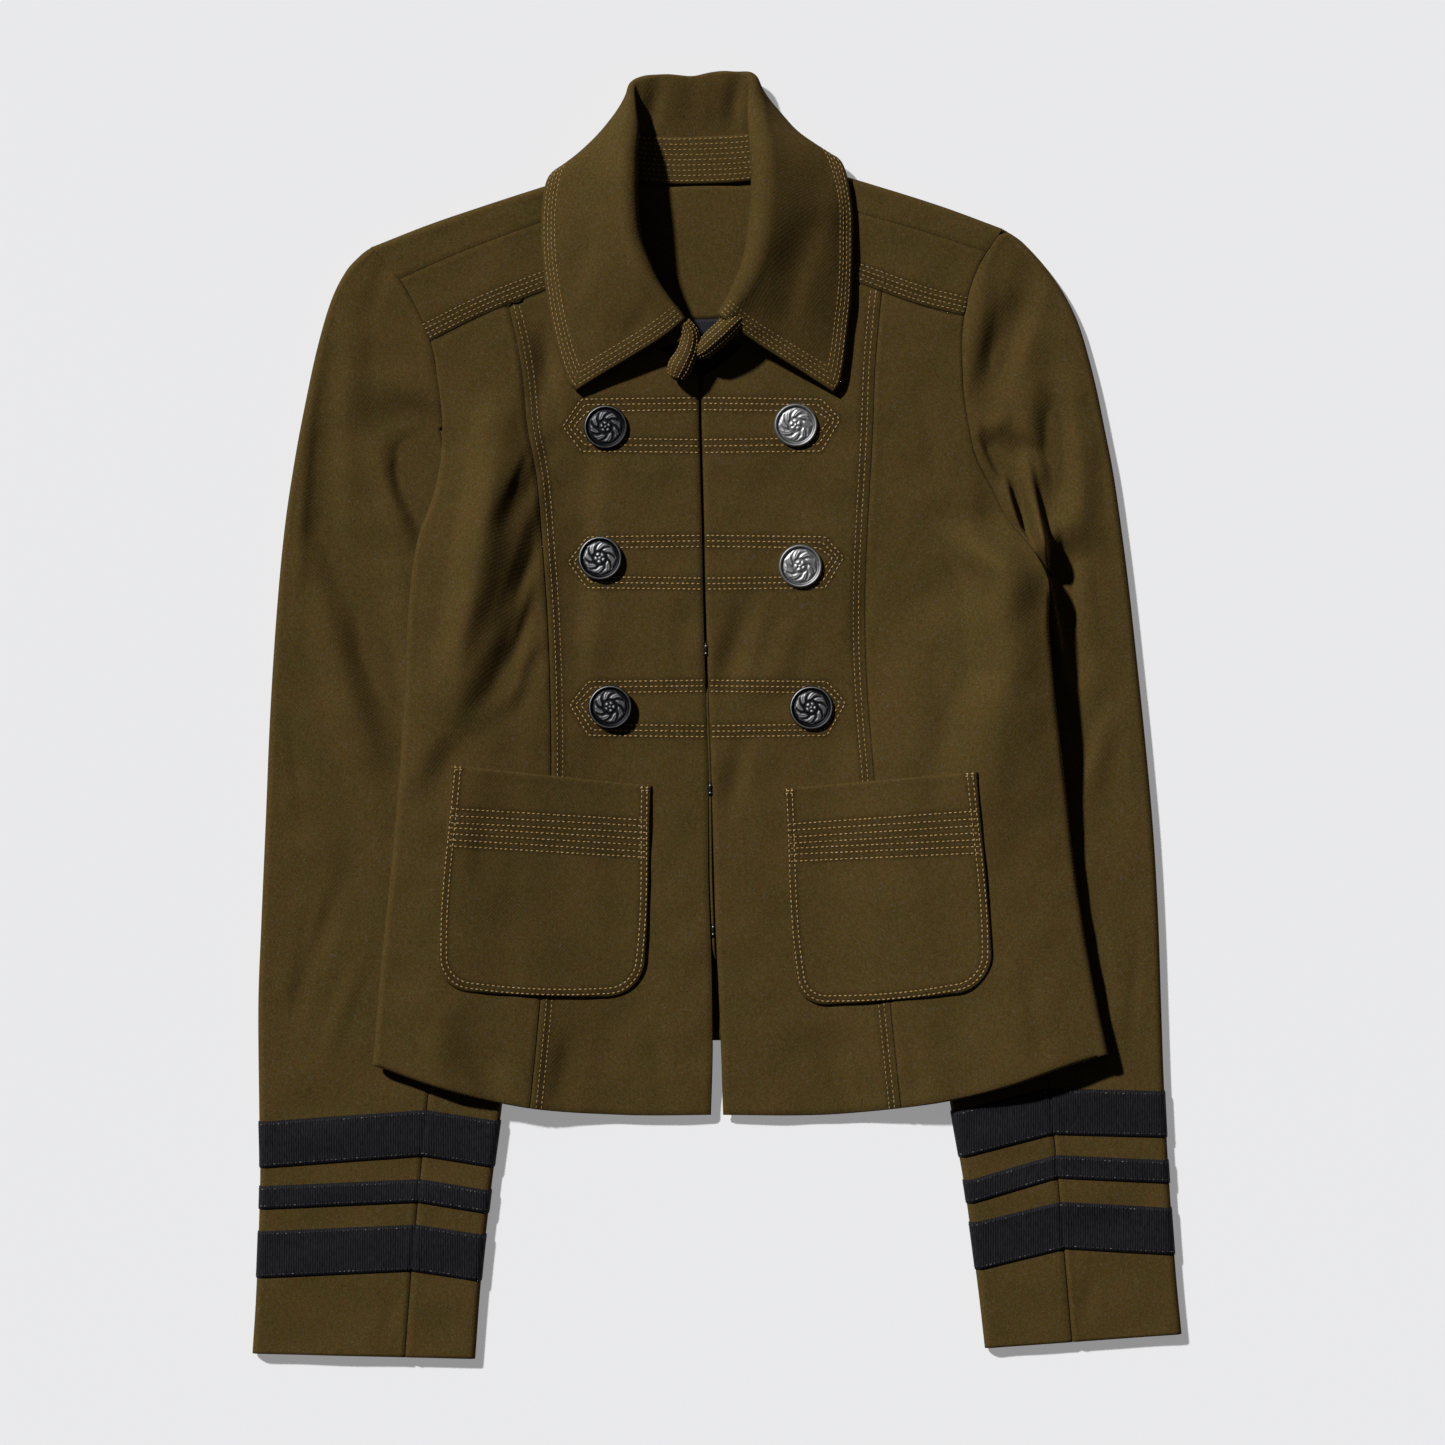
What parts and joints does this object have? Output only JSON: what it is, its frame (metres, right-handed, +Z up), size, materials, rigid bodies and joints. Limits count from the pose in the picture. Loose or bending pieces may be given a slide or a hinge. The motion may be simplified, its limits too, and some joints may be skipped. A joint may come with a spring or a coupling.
{
  "type": "napoleon jacket",
  "caption": "Cropped double-breasted jacket in olive twill, laid out flat, with a turned-down collar, patch pockets, metal buttons and dark ribbon bands round the cuffs.",
  "frame": {"origin": "on the surface that the jacket lies on, below the middle of its outline", "axes": "+Z up from the surface, +Y from the hem towards the collar, +X to the right as seen from above"},
  "size_m": [0.5104, 0.7069, 0.0353],
  "materials": {
    "twill": "olive cotton twill, matt, with gold-tan stitching",
    "ribbon": "blue-black ribbed ribbon, matt with a slight sheen",
    "lining": "dark navy lining, slightly glossy",
    "button_metal": "dark gunmetal with brighter worn relief",
    "black_wire": "black enamelled wire"
  },
  "bodies": {
    "root": {"back": "twill", "back_facing": "twill", "front_underlap": "twill", "side_front_left": "twill", "side_front_right": "twill", "front_left": "twill", "front_right": "twill", "yoke_left": "twill", "yoke_right": "twill", "sleeve_upper_left": "twill", "sleeve_upper_right": "twill", "sleeve_under_left": "twill", "sleeve_under_right": "twill", "pocket_left": "twill", "pocket_right": "twill", "collar_stand": "twill", "collar_fall": "twill", "cuff_ribbon_left_1": "ribbon", "cuff_ribbon_left_2": "ribbon", "cuff_ribbon_left_3": "ribbon", "cuff_ribbon_right_1": "ribbon", "cuff_ribbon_right_2": "ribbon", "cuff_ribbon_right_3": "ribbon", "back_lining": "lining", "button_1": "button_metal", "button_2": "button_metal", "button_3": "button_metal", "button_4": "button_metal", "button_5": "button_metal", "button_6": "button_metal", "hook_1": "black_wire", "hook_2": "black_wire", "hook_3": "black_wire", "eye_1": "black_wire", "eye_2": "black_wire", "eye_3": "black_wire", "neck_hook": "black_wire"}
  },
  "joints": []
}
